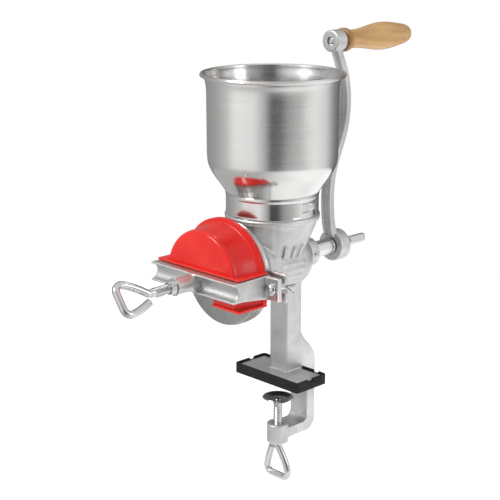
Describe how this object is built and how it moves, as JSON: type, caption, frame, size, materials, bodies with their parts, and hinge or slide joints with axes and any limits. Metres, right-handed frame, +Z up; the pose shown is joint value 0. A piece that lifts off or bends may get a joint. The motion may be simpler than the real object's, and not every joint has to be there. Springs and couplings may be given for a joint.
{
  "type": "hand-cranked table grain mill",
  "caption": "Hand-cranked grain and corn mill with a table clamp, spun metal hopper, adjustable grinding discs, guard and crank.",
  "frame": {"origin": "centre of the rubber boot's underside, where the mill sits on the table", "axes": "+Z up, +Y along the feed shaft towards the crank, +X across the mill"},
  "size_m": [0.157, 0.3963, 0.459],
  "materials": {
    "cast_metal": "tinned, satin cast skin",
    "black_rubber": "matt",
    "bronze": "turned",
    "zinc_plate": "bright zinc plate",
    "steel": "turned",
    "red_plastic": "glossy moulded",
    "spun_steel": "bright spun",
    "turned_wood": "lacquered"
  },
  "bodies": {
    "frame": {"mill_body": "cast_metal", "base_rubber_pad": "black_rubber", "rear_bush": "bronze", "bush_oil_plug": "zinc_plate", "fixed_burr": "cast_metal", "burr_screw_near": "steel", "burr_screw_far": "steel", "yoke": "cast_metal", "yoke_pin_near": "zinc_plate", "yoke_pin_far": "zinc_plate", "split_pin_near": "zinc_plate", "split_pin_far": "zinc_plate", "guard_cover": "red_plastic"},
    "hopper_lift_ring": {"hopper_rim_wire": "spun_steel"},
    "hopper": {"hopper_bowl": "spun_steel", "hopper_neck": "spun_steel"},
    "thrust": {"thrust_ball": "steel"},
    "adjuster": {"adjusting_screw": "zinc_plate"},
    "lock_slide": {"lock_washer": "zinc_plate"},
    "lock_nut": {"lock_wing_nut": "cast_metal"},
    "rotor": {"auger_shaft": "steel", "burr_carrier": "cast_metal", "rotating_burr": "cast_metal", "drive_pin": "steel", "rotor_screw_near": "steel", "rotor_screw_far": "steel", "crank_arm": "cast_metal", "handle_bolt": "zinc_plate", "handle_washer": "zinc_plate"},
    "crank_clip": {"crank_washer": "zinc_plate"},
    "thumb_screw": {"crank_thumb_screw": "zinc_plate"},
    "grip": {"wooden_grip": "turned_wood"},
    "clamp_foot": {"clamp_pad": "zinc_plate"},
    "clamp_rod": {"clamp_screw": "zinc_plate"}
  },
  "joints": [
    {"name": "hopper_lift", "type": "slide", "parent": "frame", "child": "hopper_lift_ring", "axis": [0, 0, 1], "range_m": [0, 0.09]},
    {"name": "hopper_turn", "type": "hinge", "parent": "hopper_lift_ring", "child": "hopper", "pos_m": [0, -0.0125, 0.25], "axis": [0, 0, 1], "range_deg": [0, 15]},
    {"name": "gap_travel", "type": "slide", "parent": "frame", "child": "thrust", "axis": [0, 1, 0], "range_m": [-0.004, 0]},
    {"name": "adjust_turn", "type": "hinge", "parent": "thrust", "child": "adjuster", "pos_m": [0, -0.15, 0.1255], "axis": [0, 1, 0], "range_deg": [-960, 0]},
    {"name": "crank_spin", "type": "hinge", "parent": "thrust", "child": "rotor", "pos_m": [0, 0, 0.1255], "axis": [0, 1, 0], "continuous": true},
    {"name": "grip_spin", "type": "hinge", "parent": "rotor", "child": "grip", "pos_m": [0, 0.13, 0.335], "axis": [0, 1, 0], "continuous": true},
    {"name": "crank_clip_travel", "type": "slide", "parent": "rotor", "child": "crank_clip", "axis": [0, 1, 0], "range_m": [0, 0.012]},
    {"name": "thumb_screw_turn", "type": "hinge", "parent": "crank_clip", "child": "thumb_screw", "pos_m": [0, 0.1, 0.1255], "axis": [0, 1, 0], "range_deg": [0, 3600]},
    {"name": "lock_nut_travel", "type": "slide", "parent": "frame", "child": "lock_slide", "axis": [0, 1, 0], "range_m": [-0.008, 0]},
    {"name": "lock_nut_turn", "type": "hinge", "parent": "lock_slide", "child": "lock_nut", "pos_m": [0, -0.145, 0.1255], "axis": [0, 1, 0], "range_deg": [-1920, 0]},
    {"name": "clamp_travel", "type": "slide", "parent": "frame", "child": "clamp_foot", "axis": [0, 0, 1], "range_m": [-0.022, 0.002]},
    {"name": "clamp_turn", "type": "hinge", "parent": "clamp_foot", "child": "clamp_rod", "pos_m": [0, -0.003, -0.06], "axis": [0, 0, 1], "range_deg": [-4800, 480]}
  ],
  "couplings": [
    {"joint": "adjust_turn", "follows": "gap_travel", "rad_per_m": 4188.8},
    {"joint": "thumb_screw_turn", "follows": "crank_clip_travel", "rad_per_m": 5236},
    {"joint": "lock_nut_turn", "follows": "lock_nut_travel", "rad_per_m": 4188.8},
    {"joint": "clamp_turn", "follows": "clamp_travel", "rad_per_m": 3490.7}
  ]
}
